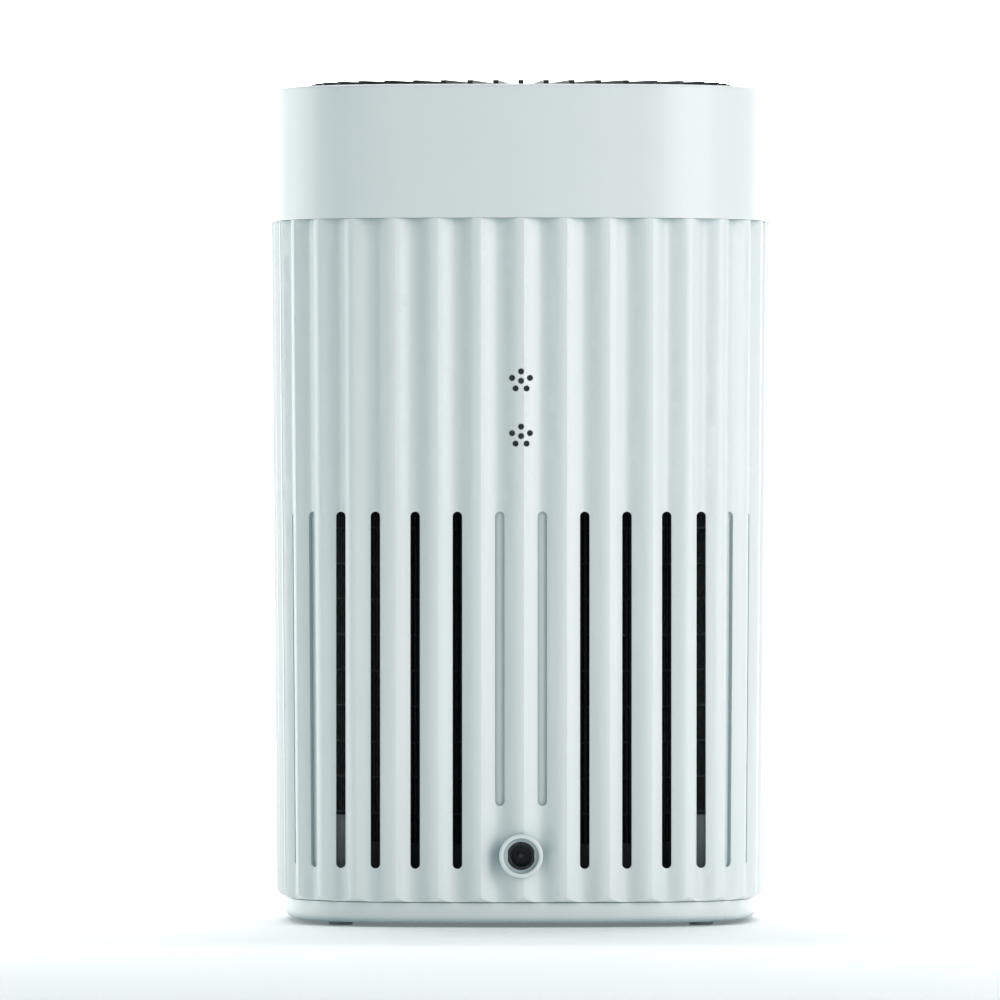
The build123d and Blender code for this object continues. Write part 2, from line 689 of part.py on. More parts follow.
with BuildPart() as motor_case:
    with BuildSketch(Plane.XY.offset(250.6)):
        Circle(27.0)
    extrude(amount=32.0)
    fillet(motor_case.edges().group_by(Axis.Z)[0], radius=2.0)
    with BuildSketch(Plane.XY.offset(252.8)):
        Circle(24.8)
    extrude(amount=27.6, mode=Mode.SUBTRACT)
    # bearing seats
    with BuildSketch(Plane.XY.offset(252.6)):
        Circle(9.0)
    extrude(amount=3.6)
    with BuildSketch(Plane.XY.offset(277.0)):
        Circle(9.0)
    extrude(amount=3.6)
    with BuildSketch(Plane.XY.offset(251.9)):
        Circle(6.5)
    extrude(amount=5, mode=Mode.SUBTRACT)
    with BuildSketch(Plane.XY.offset(276.0)):
        Circle(6.5)
    extrude(amount=5, mode=Mode.SUBTRACT)
    with BuildSketch(Plane.XY.offset(249.0)):
        Circle(3.4)
    extrude(amount=5, mode=Mode.SUBTRACT)
    # screw holes in the top
    with BuildSketch(Plane.XY.offset(282.6)):
        with PolarLocations(18, 3):
            Circle(1.55)
    extrude(amount=-1.8, mode=Mode.SUBTRACT)
motor_case.part.label = "motor_case"
export_step(motor_case.part, "parts/motor_case.step")

with BuildPart() as motor_stator:
    with BuildSketch(Plane.XY.offset(258.0)):
        Circle(24.6)
        Circle(21.5, mode=Mode.SUBTRACT)
        with PolarLocations(0, 9):
            with Locations((18.0, 0)):
                Rectangle(8.5, 3.4)
            with Locations((13.6, 0)):
                Rectangle(1.8, 7.6)
        Circle(12.4, mode=Mode.SUBTRACT)
    extrude(amount=14.6)
motor_stator.part.label = "motor_stator"
export_step(motor_stator.part, "parts/motor_stator.step")

with BuildPart() as motor_coils:
    with BuildSketch(Plane.XY.offset(256.6)):
        with PolarLocations(17.7, 9):
            RectangleRounded(5.2, 6.0, 0.9)
    extrude(amount=17.4)
    with BuildSketch(Plane.XY.offset(257.9)):
        with PolarLocations(17.7, 9):
            Rectangle(9.0, 3.5)
    extrude(amount=14.8, mode=Mode.SUBTRACT)
motor_coils.part.label = "motor_coils"
export_step(motor_coils.part, "parts/motor_coils.step")

with BuildPart() as motor_bearings:
    for z0 in (252.0, 277.0):
        with BuildSketch(Plane.XY.offset(z0)):
            Circle(6.45)
            Circle(2.54, mode=Mode.SUBTRACT)
        extrude(amount=3.4)
        fillet(motor_bearings.edges().filter_by(GeomType.CIRCLE)
               .filter_by(lambda e: e.radius > 6 and
                          z0 - 0.1 < e.center().Z < z0 + 3.5), radius=0.3)
motor_bearings.part.label = "motor_bearings"
export_step(motor_bearings.part, "parts/motor_bearings.step")

# stationary vanes that carry the motor and straighten the air
with BuildSketch() as vane_face:
    with BuildLine():
        ThreePointArc((29.0, 0), (54, 6.6), (77.5, 24.6))
        Line((77.5, 24.6), (76.4, 26.2))
        ThreePointArc((76.4, 26.2), (53.2, 8.6), (29.0, 2.0))
        Line((29.0, 2.0), (29.0, 0))
    make_face()

with BuildPart() as motor_bracket:
    with BuildSketch(Plane.XY.offset(262.0)):
        Circle(82.6)
        Circle(80.6, mode=Mode.SUBTRACT)
        with PolarLocations(0, 9):
            add(vane_face.sketch)
        Circle(30.0)
        Circle(27.2, mode=Mode.SUBTRACT)
    extrude(amount=22.0)
    with BuildSketch(Plane.XY.offset(282.8)):
        Circle(30.0)
        with PolarLocations(18, 3):
            Circle(1.8, mode=Mode.SUBTRACT)
    extrude(amount=2.4)
    with BuildSketch(Plane.XY.offset(285.2)):
        Circle(30.0)
        Circle(27.6, mode=Mode.SUBTRACT)
    extrude(amount=3.0)
    fillet(motor_bracket.edges().group_by(Axis.Z)[-1], radius=0.8)
motor_bracket.part.label = "motor_bracket"
export_step(motor_bracket.part, "parts/motor_bracket.step")

with BuildPart() as motor_screws:
    with BuildSketch(Plane.XY.offset(285.2)):
        with PolarLocations(18, 3):
            Circle(3.0)
    extrude(amount=1.8)
    with BuildSketch(Plane.XY.offset(281.2)):
        with PolarLocations(18, 3):
            Circle(1.5)
    extrude(amount=4.2)
    with BuildSketch(Plane.XY.offset(287.0)):
        with PolarLocations(18, 3):
            Rectangle(3.2, 0.8)
            Rectangle(0.8, 3.2)
    extrude(amount=-0.9, mode=Mode.SUBTRACT)
motor_screws.part.label = "motor_screws"
export_step(motor_screws.part, "parts/motor_screws.step")

# ============================================================ outlet and controls
with BuildPart() as outlet_grille:
    # frame on the collar's seat
    with BuildSketch(Plane.XY.offset(340.3)):
        with BuildLine():
            plan_outline(GRILLE_INSET + 0.15)
        make_face()
        with BuildLine():
            plan_outline(GRILLE_INSET + 2.6)
        make_face(mode=Mode.SUBTRACT)
    extrude(amount=8.0)
    # radial ribs, ends on the frame outline
    with BuildSketch(Plane.XY.offset(345.5)) as rib_plan:
        with PolarLocations(0, RIBS, start_angle=90):
            with Locations((78, 0)):
                Rectangle(84, RIB_T)
        with BuildLine():
            plan_outline(GRILLE_INSET + 0.15)
        make_face(mode=Mode.INTERSECT)
    extrude(rib_plan.sketch, amount=RIB_TOP - 345.5)
    # finger-safe hoops low between the ribs
    with BuildSketch(Plane.XY.offset(345.5)):
        for r in (54.0, 72.0):
            Circle(r + 1.0)
            Circle(r - 1.0, mode=Mode.SUBTRACT)
    extrude(amount=3.0)
    # hub cup
    with BuildSketch(Plane.XY.offset(333.0)):
        Circle(HUB_R + 2.8)
    extrude(amount=RIB_TOP - 333.0)
    with BuildSketch(Plane.XY.offset(335.2)):
        Circle(HUB_R + 0.2)
    extrude(amount=30, mode=Mode.SUBTRACT)
    with BuildSketch(Plane.XY.offset(332)):
        with PolarLocations(22, 1, start_angle=135):
            Circle(2.2)
    extrude(amount=5, mode=Mode.SUBTRACT)
outlet_grille.part.label = "outlet_grille"
export_step(outlet_grille.part, "parts/outlet_grille.step")

BTN_R = 7.0
BTN_X = 12.5
with BuildPart() as control_panel:
    with BuildSketch(Plane.XY.offset(341.0)):
        Circle(HUB_R)
        Circle(HUB_R - 2.2, mode=Mode.SUBTRACT)
    extrude(amount=15.6)
    with BuildSketch(Plane.XY.offset(354.0)):
        Circle(HUB_R)
    extrude(amount=2.6)
    fillet(control_panel.edges().group_by(Axis.Z)[-1], radius=0.9)
    with BuildSketch(Plane.XY.offset(350)):
        with Locations((-BTN_X, 0), (BTN_X, 0)):
            Circle(BTN_R)
    extrude(amount=10, mode=Mode.SUBTRACT)
    # guide tubes for the buttons
    with BuildSketch(Plane.XY.offset(349.0)):
        with Locations((-BTN_X, 0), (BTN_X, 0)):
            Circle(BTN_R + 1.8)
        with Locations((-BTN_X, 0), (BTN_X, 0)):
            Circle(BTN_R, mode=Mode.SUBTRACT)
    extrude(amount=5.2)
    # channel for the light ring
    with BuildSketch(Plane.XY.offset(353.0)):
        Circle(30.6)
        Circle(28.4, mode=Mode.SUBTRACT)
    extrude(amount=10, mode=Mode.SUBTRACT)
    with BuildSketch(Plane.XY.offset(352.6)):
        Circle(32.4)
        Circle(26.6, mode=Mode.SUBTRACT)
    extrude(amount=1.6)
    with BuildSketch(Plane.XY.offset(353.6)):
        Circle(30.6)
        Circle(28.4, mode=Mode.SUBTRACT)
    extrude(amount=10, mode=Mode.SUBTRACT)
control_panel.part.label = "control_panel"
export_step(control_panel.part, "parts/control_panel.step")

with BuildPart() as light_ring:
    with BuildSketch(Plane.XY.offset(353.6)):
        Circle(30.5)
        Circle(28.5, mode=Mode.SUBTRACT)
    extrude(amount=3.0)
light_ring.part.label = "light_ring"
export_step(light_ring.part, "parts/light_ring.step")

with BuildPart() as power_button:
    with BuildSketch(Plane.XY.offset(349.2)):
        with Locations((-BTN_X, 0)):
            Circle(BTN_R - 0.08)
    extrude(amount=7.8)
    fillet(power_button.edges().group_by(Axis.Z)[-1], radius=0.7)
    # dished finger rest
    with Locations((-BTN_X, 0, 357.0 + 27.6)):
        Sphere(28.2, mode=Mode.SUBTRACT)
    with BuildSketch(Plane.XY.offset(345.2)):
        with Locations((-BTN_X, 0)):
            Circle(2.4)
    extrude(amount=4.0)
power_button.part.label = "power_button"
export_step(power_button.part, "parts/power_button.step")

with BuildPart() as fan_speed_button:
    with BuildSketch(Plane.XY.offset(349.2)):
        with Locations((BTN_X, 0)):
            Circle(BTN_R - 0.08)
    extrude(amount=7.8)
    fillet(fan_speed_button.edges().group_by(Axis.Z)[-1], radius=0.7)
    with Locations((BTN_X, 0, 357.0 + 27.6)):
        Sphere(28.2, mode=Mode.SUBTRACT)
    with BuildSketch(Plane.XY.offset(345.2)):
        with Locations((BTN_X, 0)):
            Circle(2.4)
    extrude(amount=4.0)
fan_speed_button.part.label = "fan_speed_button"
export_step(fan_speed_button.part, "parts/fan_speed_button.step")

with BuildPart() as control_board:
    with BuildSketch(Plane.XY.offset(339.0)):
        Circle(33.8)
    extrude(amount=1.6)
    # tactile switches under the buttons, LEDs under the ring
    with BuildSketch(Plane.XY.offset(340.6)):
        with Locations((-BTN_X, 0), (BTN_X, 0)):
            Rectangle(6.2, 6.2)
    extrude(amount=2.4)
    with BuildSketch(Plane.XY.offset(343.0)):
        with Locations((-BTN_X, 0), (BTN_X, 0)):
            Circle(1.7)
    extrude(amount=1.1)
    with BuildSketch(Plane.XY.offset(340.6)):
        with PolarLocations(29.5, 12):
            Rectangle(2.0, 3.5)
        with Locations((0, 14)):
            Rectangle(9, 9)
        with Locations((-9.5, 20)):
            Rectangle(8, 4)
    extrude(amount=1.2)
    # stand-offs to the hub floor
    with BuildSketch(Plane.XY.offset(335.2)):
        with PolarLocations(26, 3, start_angle=15):
            Circle(2.2)
    extrude(amount=3.8)
control_board.part.label = "control_board"
export_step(control_board.part, "parts/control_board.step")

# ============================================================ electrics
with BuildPart() as dc_jack:
    rear = Plane(origin=(0, BOSS_FACE_Y - CBORE_DEPTH - 0.1, INLET_Z),
                 x_dir=(-1, 0, 0), z_dir=(0, 1, 0))
    with BuildSketch(rear):
        Circle(JACK_R - 0.06)
        Rectangle(2 * JACK_FLAT - 0.12, 2 * JACK_R, mode=Mode.INTERSECT)
    extrude(amount=-12.0)
    # socket and centre pin
    with BuildSketch(rear):
        Circle(4.4)
        Circle(1.05, mode=Mode.SUBTRACT)
    extrude(amount=-9.5, mode=Mode.SUBTRACT)
    fillet(dc_jack.edges().filter_by(GeomType.CIRCLE)
           .filter_by(lambda e: abs(e.radius - 4.4) < 0.01)
           .sort_by(Axis.Y)[-1], radius=0.5)
    # solder tags
    with BuildSketch(rear.offset(-12.0)):
        with Locations((-2.6, 1.5), (2.6, 1.5)):
            Rectangle(2.2, 0.6)
    extrude(amount=-2.8)
dc_jack.part.label = "dc_jack"
export_step(dc_jack.part, "parts/dc_jack.step")

with BuildPart() as jack_nut:
    with BuildSketch(Plane(origin=(0, 97.6, INLET_Z), x_dir=(-1, 0, 0),
                           z_dir=(0, 1, 0))):
        RegularPolygon(8.6, 6)
        Circle(JACK_R, mode=Mode.SUBTRACT)
    extrude(amount=-2.2)
jack_nut.part.label = "jack_nut"
export_step(jack_nut.part, "parts/jack_nut.step")

# mains board stands in the rear corner outside the fan shroud
corner = Plane(origin=(98.6 * ex, -98.6 * ex, 255.0), x_dir=(ex, ex, 0),
               z_dir=(-ex, ex, 0))
with BuildPart() as main_board:
    with BuildSketch(corner):
        Rectangle(46, 104)
        with Locations((-19, 46), (19, 46), (-19, -46), (19, -46)):
            Circle(1.6, mode=Mode.SUBTRACT)
    extrude(amount=1.6)
    with BuildSketch(corner.offset(0)):
        with Locations((-12, 14), (-12, -4)):
            Circle(4.0)
        with Locations((6, -32)):
            RectangleRounded(13, 13, 1.5)
        with Locations((8, 0)):
            Rectangle(11, 11)
    extrude(amount=-9.0)
    with BuildSketch(corner.offset(1.6)):
        with Locations((0, 36)):
            Rectangle(8, 5)
        with Locations((0, 45)):
            Rectangle(8, 5)
        with Locations((10, -30)):
            Rectangle(10, 7)
    extrude(amount=5.0)
main_board.part.label = "main_board"
export_step(main_board.part, "parts/main_board.step")

with BuildPart() as board_bracket:
    with BuildSketch(Plane.XY.offset(DECK_Z + 3.1)):
        with Locations((98.6 * ex, -98.6 * ex)):
            Rectangle(7.2, 50, rotation=135)
    extrude(amount=9.4)
    with BuildSketch(Plane.XY.offset(DECK_Z + 6.0)):
        with Locations((97.8 * ex, -97.8 * ex)):
            Rectangle(1.7, 52, rotation=135)
    extrude(amount=9.4, mode=Mode.SUBTRACT)
board_bracket.part.label = "board_bracket"
export_step(board_bracket.part, "parts/board_bracket.step")

with BuildPart() as dust_sensor:
    with BuildSketch(Plane.XY.offset(196.0)):
        with Locations((6.0, 92.2)):
            RectangleRounded(40, 12, 1.5)
    extrude(amount=46)
    with BuildSketch(Plane(origin=(0, 98.2, 219.0), x_dir=(-1, 0, 0),
                           z_dir=(0, 1, 0))):
        with Locations((0, VENT_Z[0] - 219.0), (0, VENT_Z[1] - 219.0)):
            Circle(6.4)
    extrude(amount=-6, mode=Mode.SUBTRACT)
dust_sensor.part.label = "dust_sensor"
export_step(dust_sensor.part, "parts/dust_sensor.step")

with BuildPart() as sensor_seal:
    with BuildSketch(Plane(origin=(0, 98.3, 218.5), x_dir=(-1, 0, 0),
                           z_dir=(0, 1, 0))):
        RectangleRounded(24, 44, 3)
        with Locations((0, VENT_Z[0] - 218.5), (0, VENT_Z[1] - 218.5)):
            Circle(6.6, mode=Mode.SUBTRACT)
    extrude(amount=1.9)
sensor_seal.part.label = "sensor_seal"
export_step(sensor_seal.part, "parts/sensor_seal.step")

# lead from the inlet to the board: up the rear wall, held all the way
lead_d = 3.2
lead_pts = [(0, 94.6, 38.4), (0, 94.6, 52), (LEAD_X, LEAD_Y, 78),
            (LEAD_X, LEAD_Y, 200), (-27, 93.2, 208), (-44, 85.4, 216), (-60.9, 72.9, 223.4)]
with BuildPart() as power_lead:
    with BuildLine() as lead_path:
        FilletPolyline(*lead_pts, radius=8)
    with BuildSketch(Plane(origin=lead_path.line @ 0, z_dir=lead_path.line % 0)):
        Circle(lead_d / 2)
    sweep(path=lead_path.line)
power_lead.part.label = "power_lead"
export_step(power_lead.part, "parts/power_lead.step")

with BuildPart() as motor_lead:
    with BuildSketch(Plane(origin=(30.2 * ex, -30.2 * ex, 291.0),
                           x_dir=(0, 0, 1), z_dir=(ex, -ex, 0))):
        Circle(1.3)
    extrude(amount=61.6)
motor_lead.part.label = "motor_lead"
export_step(motor_lead.part, "parts/motor_lead.step")

with BuildPart() as control_lead:
    with BuildLine() as control_path:
        FilletPolyline((22 * ex, -22 * ex, 338.8), (22 * ex, -22 * ex, 300.0),
                       (91.8 * ex, -91.8 * ex, 300.0), radius=14)
    with BuildSketch(Plane(origin=control_path.line @ 0,
                           z_dir=control_path.line % 0)):
        Circle(1.3)
    sweep(path=control_path.line)
control_lead.part.label = "control_lead"
export_step(control_lead.part, "parts/control_lead.step")
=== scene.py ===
import json
import math

import bmesh
import bpy
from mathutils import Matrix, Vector


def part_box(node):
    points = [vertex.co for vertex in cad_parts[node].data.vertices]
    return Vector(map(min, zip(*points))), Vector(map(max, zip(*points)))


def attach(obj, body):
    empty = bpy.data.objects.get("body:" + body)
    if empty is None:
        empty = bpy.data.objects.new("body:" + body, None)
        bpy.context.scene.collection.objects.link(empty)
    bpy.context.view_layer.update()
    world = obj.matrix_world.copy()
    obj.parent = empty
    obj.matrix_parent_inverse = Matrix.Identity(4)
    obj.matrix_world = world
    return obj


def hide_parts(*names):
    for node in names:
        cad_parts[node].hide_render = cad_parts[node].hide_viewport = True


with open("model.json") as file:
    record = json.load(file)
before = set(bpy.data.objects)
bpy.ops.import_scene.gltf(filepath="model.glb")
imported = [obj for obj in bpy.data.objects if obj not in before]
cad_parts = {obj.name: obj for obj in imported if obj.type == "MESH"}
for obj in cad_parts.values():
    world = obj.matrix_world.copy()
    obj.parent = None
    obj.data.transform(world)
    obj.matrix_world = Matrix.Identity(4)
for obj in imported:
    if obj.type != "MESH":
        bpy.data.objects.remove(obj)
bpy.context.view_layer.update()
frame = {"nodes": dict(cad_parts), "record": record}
nodes = frame["nodes"]
scene = bpy.context.scene

# ------------------------------------------------------------------ helpers


def new_mat(name):
    m = bpy.data.materials.new(name)
    m.use_nodes = True
    nt = m.node_tree
    b = nt.nodes["Principled BSDF"]
    return m, nt, b


def coords(nt, scale=(1, 1, 1)):
    tc = nt.nodes.new("ShaderNodeTexCoord")
    mp = nt.nodes.new("ShaderNodeMapping")
    mp.inputs["Scale"].default_value = scale
    nt.links.new(tc.outputs["Object"], mp.inputs["Vector"])
    return mp.outputs["Vector"]


def noise(nt, vec, scale, detail=3.0, rough=0.5):
    n = nt.nodes.new("ShaderNodeTexNoise")
    n.inputs["Scale"].default_value = scale
    n.inputs["Detail"].default_value = detail
    n.inputs["Roughness"].default_value = rough
    nt.links.new(vec, n.inputs["Vector"])
    return n.outputs["Fac"]


def ramp(nt, fac, stops):
    r = nt.nodes.new("ShaderNodeValToRGB")
    e = r.color_ramp.elements
    while len(e) < len(stops):
        e.new(0.5)
    for el, (p, c) in zip(e, stops):
        el.position = p
        el.color = (*c, 1.0)
    nt.links.new(fac, r.inputs["Fac"])
    return r.outputs["Color"]


def vary(nt, fac, lo, hi):
    r = nt.nodes.new("ShaderNodeMapRange")
    r.inputs["To Min"].default_value = lo
    r.inputs["To Max"].default_value = hi
    nt.links.new(fac, r.inputs["Value"])
    return r.outputs["Result"]


def bump(nt, b, height, strength, distance):
    n = nt.nodes.new("ShaderNodeBump")
    n.inputs["Strength"].default_value = strength
    n.inputs["Distance"].default_value = distance
    nt.links.new(height, n.inputs["Height"])
    nt.links.new(n.outputs["Normal"], b.inputs["Normal"])


def tint(c, k):
    return tuple(max(0.0, min(1.0, v * k)) for v in c)


def plastic(name, color, rough, spread=0.03, mottling=0.02, grain=900.0,
            grain_strength=0.10, coat=0.0, coat_rough=0.05, sss=0.0,
            painted_hollow_shade=None):
    """Moulded plastic: faint flow mottling, spark-eroded grain, uneven gloss."""
    m, nt, b = new_mat(name)
    v = coords(nt)
    flow = noise(nt, v, 14.0, 4.0, 0.55)
    skin = ramp(nt, flow, [(0.3, tint(color, 1 - mottling)),
                           (0.7, tint(color, 1 + mottling))])
    if painted_hollow_shade:
        # painted shade: ambient occlusion darkens the base colour down in the grooves and valleys
        ao = nt.nodes.new("ShaderNodeAmbientOcclusion")
        ao.samples = 8
        ao.inputs["Distance"].default_value = 0.009
        shade = ramp(nt, ao.outputs["AO"], [(0.25, painted_hollow_shade), (0.95, (1, 1, 1))])
        mul = nt.nodes.new("ShaderNodeMix")
        mul.data_type = "RGBA"
        mul.blend_type = "MULTIPLY"
        mul.inputs[0].default_value = 1.0
        nt.links.new(skin, mul.inputs[6])
        nt.links.new(shade, mul.inputs[7])
        skin = mul.outputs[2]
    nt.links.new(skin, b.inputs["Base Color"])
    fine = noise(nt, v, grain, 2.0, 0.6)
    cloud = noise(nt, v, 42.0, 3.0, 0.5)
    mix = nt.nodes.new("ShaderNodeMath")
    mix.operation = "MULTIPLY_ADD"
    nt.links.new(fine, mix.inputs[0])
    mix.inputs[1].default_value = 0.5
    nt.links.new(cloud, mix.inputs[2])
    nt.links.new(vary(nt, mix.outputs[0], rough - spread, rough + spread),
                 b.inputs["Roughness"])
    bump(nt, b, fine, grain_strength, 0.00004)
    if coat:
        b.inputs["Coat Weight"].default_value = coat
        b.inputs["Coat Roughness"].default_value = coat_rough
    if sss:
        b.inputs["Subsurface Weight"].default_value = sss
        b.inputs["Subsurface Scale"].default_value = 0.002
    return m


def metal(name, color, rough, along=(1, 1, 1), scale=400.0, strength=0.15):
    m, nt, b = new_mat(name)
    v = coords(nt, along)
    n = noise(nt, v, scale, 3.0, 0.6)
    nt.links.new(ramp(nt, n, [(0.3, tint(color, 0.9)), (0.7, tint(color, 1.06))]),
                 b.inputs["Base Color"])
    b.inputs["Metallic"].default_value = 1.0
    nt.links.new(vary(nt, n, rough - 0.06, rough + 0.06), b.inputs["Roughness"])
    bump(nt, b, n, strength, 0.00005)
    return m


def weave(name, color, pitch, rough=0.85, sheen=0.2, strength=0.5):
    """Woven cloth from two crossed wave textures."""
    m, nt, b = new_mat(name)
    v = coords(nt)
    outs = []
    for axis in ("X", "Z"):
        w = nt.nodes.new("ShaderNodeTexWave")
        w.bands_direction = axis
        w.inputs["Scale"].default_value = 1.0 / pitch / 3.2
        w.inputs["Distortion"].default_value = 0.6
        w.inputs["Detail"].default_value = 1.0
        nt.links.new(v, w.inputs["Vector"])
        outs.append(w.outputs["Fac"])
    mx = nt.nodes.new("ShaderNodeMath")
    mx.operation = "MAXIMUM"
    nt.links.new(outs[0], mx.inputs[0])
    nt.links.new(outs[1], mx.inputs[1])
    nt.links.new(ramp(nt, mx.outputs[0], [(0.2, tint(color, 0.6)),
                                          (0.9, tint(color, 1.15))]),
                 b.inputs["Base Color"])
    nt.links.new(vary(nt, mx.outputs[0], rough + 0.08, rough - 0.08),
                 b.inputs["Roughness"])
    b.inputs["Sheen Weight"].default_value = sheen
    bump(nt, b, mx.outputs[0], strength, 0.0003)
    return m


def felt(name, color, scale=700.0, rough=0.95, strength=0.5, depth=0.0004):
    m, nt, b = new_mat(name)
    v = coords(nt)
    n = noise(nt, v, scale, 6.0, 0.7)
    nt.links.new(ramp(nt, n, [(0.3, tint(color, 0.75)), (0.75, tint(color, 1.2))]),
                 b.inputs["Base Color"])
    nt.links.new(vary(nt, n, rough - 0.05, rough + 0.04), b.inputs["Roughness"])
    bump(nt, b, n, strength, depth)
    return m


def board(name):
    """Solder mask with darker tracks under it."""
    m, nt, b = new_mat(name)
    v = coords(nt)
    br = nt.nodes.new("ShaderNodeTexBrick")
    br.inputs["Scale"].default_value = 190.0
    br.inputs["Mortar Size"].default_value = 0.05
    br.inputs["Color1"].default_value = (0.012, 0.12, 0.06, 1)
    br.inputs["Color2"].default_value = (0.016, 0.15, 0.08, 1)
    br.inputs["Mortar"].default_value = (0.03, 0.24, 0.13, 1)
    nt.links.new(v, br.inputs["Vector"])
    nt.links.new(br.outputs["Color"], b.inputs["Base Color"])
    nt.links.new(vary(nt, noise(nt, v, 300.0), 0.28, 0.42), b.inputs["Roughness"])
    bump(nt, b, br.outputs["Fac"], 0.3, 0.00005)
    return m


# ---------------------------------------------------------------- materials
WHITE = (0.770, 0.800, 0.802)
mats = {
    # white_shell carries painted shade: its base colour is darkened by ambient occlusion in grooves and
    # valleys
    "white_shell": plastic("white_shell", WHITE, 0.36, 0.03, 0.006, 1500.0, 0.04,
                           coat=0.16, coat_rough=0.10,
                           painted_hollow_shade=(0.44, 0.56, 0.585)),
    "foot_rubber": felt("foot_rubber", (0.26, 0.30, 0.31), 1600.0, 0.8, 0.25, 0.0001),
    "screw_steel": metal("screw_steel", (0.52, 0.53, 0.55), 0.3),
    "filter_cap": plastic("filter_cap", (0.022, 0.024, 0.027), 0.45, 0.05, 0.1, 900.0, 0.3),
    "filter_paper": felt("filter_paper", (0.045, 0.050, 0.054), 900.0, 0.95, 0.5, 0.0002),
    "prefilter_mesh": weave("prefilter_mesh", (0.020, 0.022, 0.025), 0.0009),
    "carbon_felt": felt("carbon_felt", (0.018, 0.018, 0.019), 500.0, 0.95, 0.6, 0.0006),
    "foam": felt("foam", (0.035, 0.035, 0.038), 1200.0, 0.95, 0.7, 0.0004),
    "webbing": weave("webbing", (0.06, 0.26, 0.42), 0.0007),
    "inner_plastic": plastic("inner_plastic", (0.060, 0.064, 0.068), 0.48, 0.05, 0.06, 800.0, 0.3),
    "black_plastic": plastic("black_plastic", (0.010, 0.011, 0.012), 0.34, 0.05, 0.1, 1000.0, 0.2),
    "impeller_plastic": plastic("impeller_plastic", (0.045, 0.047, 0.05), 0.36, 0.05, 0.05, 900.0, 0.2),
    "brass": metal("brass", (0.72, 0.52, 0.24), 0.28),
    "motor_can": plastic("motor_can", (0.03, 0.03, 0.032), 0.4, 0.05, 0.1, 600.0, 0.3, coat=0.3),
    "lamination": metal("lamination", (0.28, 0.28, 0.30), 0.42, (1, 1, 14), 160.0, 0.6),
    "copper": metal("copper", (0.74, 0.30, 0.13), 0.3, (1, 1, 10), 300.0, 0.7),
    "black_gloss": plastic("black_gloss", (0.008, 0.009, 0.010), 0.12, 0.02, 0.1, 1400.0, 0.03,
                           coat=0.6, coat_rough=0.03),
    "light_lens": plastic("light_lens", (0.72, 0.80, 0.82), 0.3, 0.04, 0.02, 900.0, 0.1, sss=0.3),
    "white_button": plastic("white_button", (0.66, 0.71, 0.72), 0.3, 0.04, 0.01, 1300.0, 0.08),
    "circuit_board": board("circuit_board"),
    "nickel": metal("nickel", (0.66, 0.64, 0.60), 0.2),
    "sensor_case": metal("sensor_case", (0.5, 0.51, 0.52), 0.35, (1, 1, 8), 220.0, 0.3),
    "lead_jacket": plastic("lead_jacket", (0.012, 0.012, 0.013), 0.5, 0.05, 0.1, 700.0, 0.25),
}
for sub in frame["record"]["subparts"]:
    o = nodes[sub["node"]]
    o.data.materials.clear()
    o.data.materials.append(mats[sub["material_slot"]])

# ----------------------------------------------------------- filter pleats


def link_mesh(name, verts, faces, slot, body, mat=None, smooth=False):
    me = bpy.data.meshes.new(name)
    me.from_pydata(verts, [], faces)
    me.validate()
    o = bpy.data.objects.new(name, me)
    scene.collection.objects.link(o)
    me.materials.append(mats[mat or slot])
    if smooth:
        for p in me.polygons:
            p.use_smooth = True
    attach(o, body)
    return o


lo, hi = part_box("filter_media")
r_out = hi[0] - 0.0004
r_in = 0.0528
z0, z1 = lo[2] + 0.0003, hi[2] - 0.0003
PLEATS = 132
HALF_T = 0.00035
rows = 14
verts, faces = [], []
n = PLEATS * 2


def ring_points(offset):
    """Closed zig-zag round the ring, each fold flattened a little."""
    pts = []
    for i in range(PLEATS):
        a0 = 2 * math.pi * i / PLEATS
        da = 2 * math.pi / PLEATS
        wob = 0.0004 * math.sin(i * 2.399)
        for frac, r in ((0.0, r_out), (0.09, r_out), (0.5, r_in + wob + 0.0006),
                        (0.59, r_in + wob + 0.0006)):
            a = a0 + frac * da
            rr = r + (offset if r == r_out else -offset * 0)
            pts.append((rr * math.cos(a), rr * math.sin(a)))
    return pts


base = ring_points(0.0)
m_count = len(base)
for r in range(rows):
    z = z0 + (z1 - z0) * r / (rows - 1)
    for i, (x, y) in enumerate(base):
        # paper bellies slightly between the glue lines
        bell = 0.00025 * math.sin(i * 1.7) * math.sin(math.pi * r / (rows - 1) * 6)
        rad = math.hypot(x, y)
        k = min(r_out, rad + bell) / rad
        verts.append((x * k, y * k, z))
for r in range(rows - 1):
    for i in range(m_count):
        j = (i + 1) % m_count
        faces.append((r * m_count + i, r * m_count + j,
                      (r + 1) * m_count + j, (r + 1) * m_count + i))
pleats = link_mesh("filter_pleats", verts, faces, "filter_paper", "cartridge")
sol = pleats.modifiers.new("paper", "SOLIDIFY")
sol.thickness = 0.0006
sol.offset = -1.0
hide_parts("filter_media")

# ------------------------------------------------- prefilter net, open cells
lo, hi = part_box("prefilter_sleeve")
ro = hi[0] - 0.0001
z0, z1 = lo[2] + 0.0002, hi[2] - 0.0002
cols, rws = 240, 11
verts, faces = [], []
strand, rung = 0.24, 0.03
for r in range(rws):
    for c in range(cols):
        for (fu, fv) in ((0, 0), (1, 0), (1, 1), (0, 1),
                         (strand, rung), (1 - strand, rung),
                         (1 - strand, 1 - rung), (strand, 1 - rung)):
            a = 2 * math.pi * (c + fu) / cols
            z = z0 + (z1 - z0) * (r + fv) / rws
            verts.append((ro * math.cos(a), ro * math.sin(a), z))
        b = (r * cols + c) * 8
        for k in range(4):
            j = (k + 1) % 4
            faces.append((b + k, b + j, b + 4 + j, b + 4 + k))
net = link_mesh("prefilter_net", verts, faces, "prefilter_mesh", "cartridge")
bm = bmesh.new()
bm.from_mesh(net.data)
bmesh.ops.remove_doubles(bm, verts=bm.verts, dist=1e-6)
bm.to_mesh(net.data)
bm.free()
sol = net.modifiers.new("strand", "SOLIDIFY")
sol.thickness = 0.0006
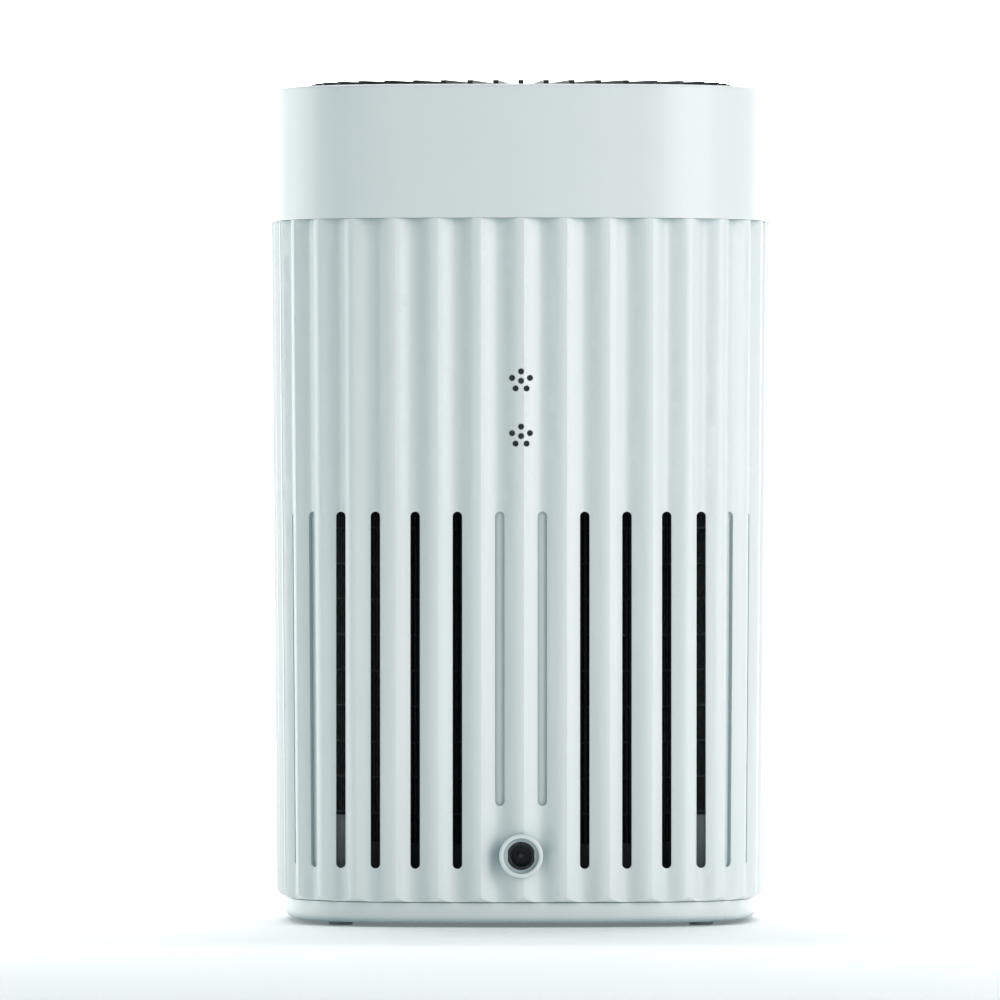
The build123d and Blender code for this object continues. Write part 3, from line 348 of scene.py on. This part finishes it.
sol.offset = -1.0
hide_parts("prefilter_sleeve")

# ------------------------------------------------------------ camera, lights
cam_data = bpy.data.cameras.new("camera")
cam = bpy.data.objects.new("camera", cam_data)
scene.collection.objects.link(cam)
scene.camera = cam
DIST = 11000 * 0.00043
cam_data.sensor_width = 36.0
cam_data.lens = 36.0 * 11.0
cam_data.clip_end = 60.0
SIDE = 20.6 * 0.00043
cam.location = (SIDE, DIST, 0.1800)
cam.rotation_euler = (math.radians(90), 0, math.radians(180))


def area(name, loc, target, size, power, color=(1, 1, 1), size_y=None):
    d = bpy.data.lights.new(name, "AREA")
    d.energy = power
    d.color = color
    d.size = size
    if size_y:
        d.shape = "RECTANGLE"
        d.size_y = size_y
    o = bpy.data.objects.new(name, d)
    scene.collection.objects.link(o)
    o.location = loc
    o.rotation_euler = (Vector(target) - Vector(loc)).to_track_quat("-Z", "Y").to_euler()
    return o


def around(azimuth, dist, z):
    """A point at that azimuth from the camera's axis, positive to its right."""
    a = math.radians(azimuth)
    return (-dist * math.sin(a), dist * math.cos(a), z)


MID = (0, 0, 0.18)
# key softbox on the right, a broad card on the left of the camera, a rim
# light behind on the left, one overhead, and one on the sweep alone
area("key", around(53, 2.0, 0.60), MID, 1.5, 26.5, (1.0, 0.95, 0.93), 1.9)
area("card", around(-38, 2.5, 0.30), MID, 1.7, 7.5, (0.93, 1.0, 1.0), 1.7)
area("rim", around(-108, 2.0, 0.45), MID, 1.3, 15.0, (1.0, 0.98, 0.97), 1.6)
area("top", (-0.3, 0.3, 1.9), (0, 0, 0.3), 1.0, 3.0, (1.0, 1.0, 1.0))
area("sweep", (0, -0.9, 2.2), (0, -3.0, 0.2), 2.4, 100.0, (1.0, 1.0, 1.0), 0.8)

area("far_sweep", (0, -4.4, 2.4), (0, -5.4, 0.0), 3.0, 260.0, (1.0, 1.0, 1.0), 1.6)

world = bpy.data.worlds.new("studio")
scene.world = world
world.use_nodes = True
bg = world.node_tree.nodes["Background"]
bg.inputs["Color"].default_value = (0.68, 0.96, 1.0, 1)
bg.inputs["Strength"].default_value = 0.28

# pale sweep: floor that curves up behind the object
verts, faces = [], []
W = 9.0
prof = [(7.0, 0.0), (0.0, 0.0), (-6.2, 0.0)]
for i in range(1, 17):
    a = math.pi / 2 * i / 16
    prof.append((-6.2 - 1.2 * math.sin(a), 1.2 - 1.2 * math.cos(a)))
prof.append((-7.4, 6.0))
for y, z in prof:
    verts.append((-W, y, z))
    verts.append((W, y, z))
for i in range(len(prof) - 1):
    faces.append((2 * i, 2 * i + 1, 2 * i + 3, 2 * i + 2))
me = bpy.data.meshes.new("floor")
me.from_pydata(verts, [], faces)
for p in me.polygons:
    p.use_smooth = True
floor = bpy.data.objects.new("floor", me)
scene.collection.objects.link(floor)
fm, nt, b = new_mat("floor_paper")
v = coords(nt)
nt.links.new(ramp(nt, noise(nt, v, 3.0), [(0.3, (0.89, 0.89, 0.89)), (0.7, (0.91, 0.91, 0.91))]),
             b.inputs["Base Color"])
b.inputs["Roughness"].default_value = 0.9
b.inputs["Emission Color"].default_value = (1.0, 1.0, 1.0, 1)
b.inputs["Emission Strength"].default_value = 0.12
me.materials.append(fm)
wm, nt, b = new_mat("backdrop_paper")
v = coords(nt)
nt.links.new(ramp(nt, noise(nt, v, 3.0), [(0.3, (0.89, 0.89, 0.89)), (0.7, (0.91, 0.91, 0.91))]),
             b.inputs["Base Color"])
b.inputs["Roughness"].default_value = 0.9
b.inputs["Emission Color"].default_value = (1.0, 1.0, 1.0, 1)
b.inputs["Emission Strength"].default_value = 0.95
me.materials.append(wm)
for i, p in enumerate(me.polygons):
    p.material_index = 1 if i >= 2 else 0

scene.view_settings.view_transform = "Standard"
scene.view_settings.look = "None"
scene.view_settings.exposure = 0.0
scene.view_settings.gamma = 1.0
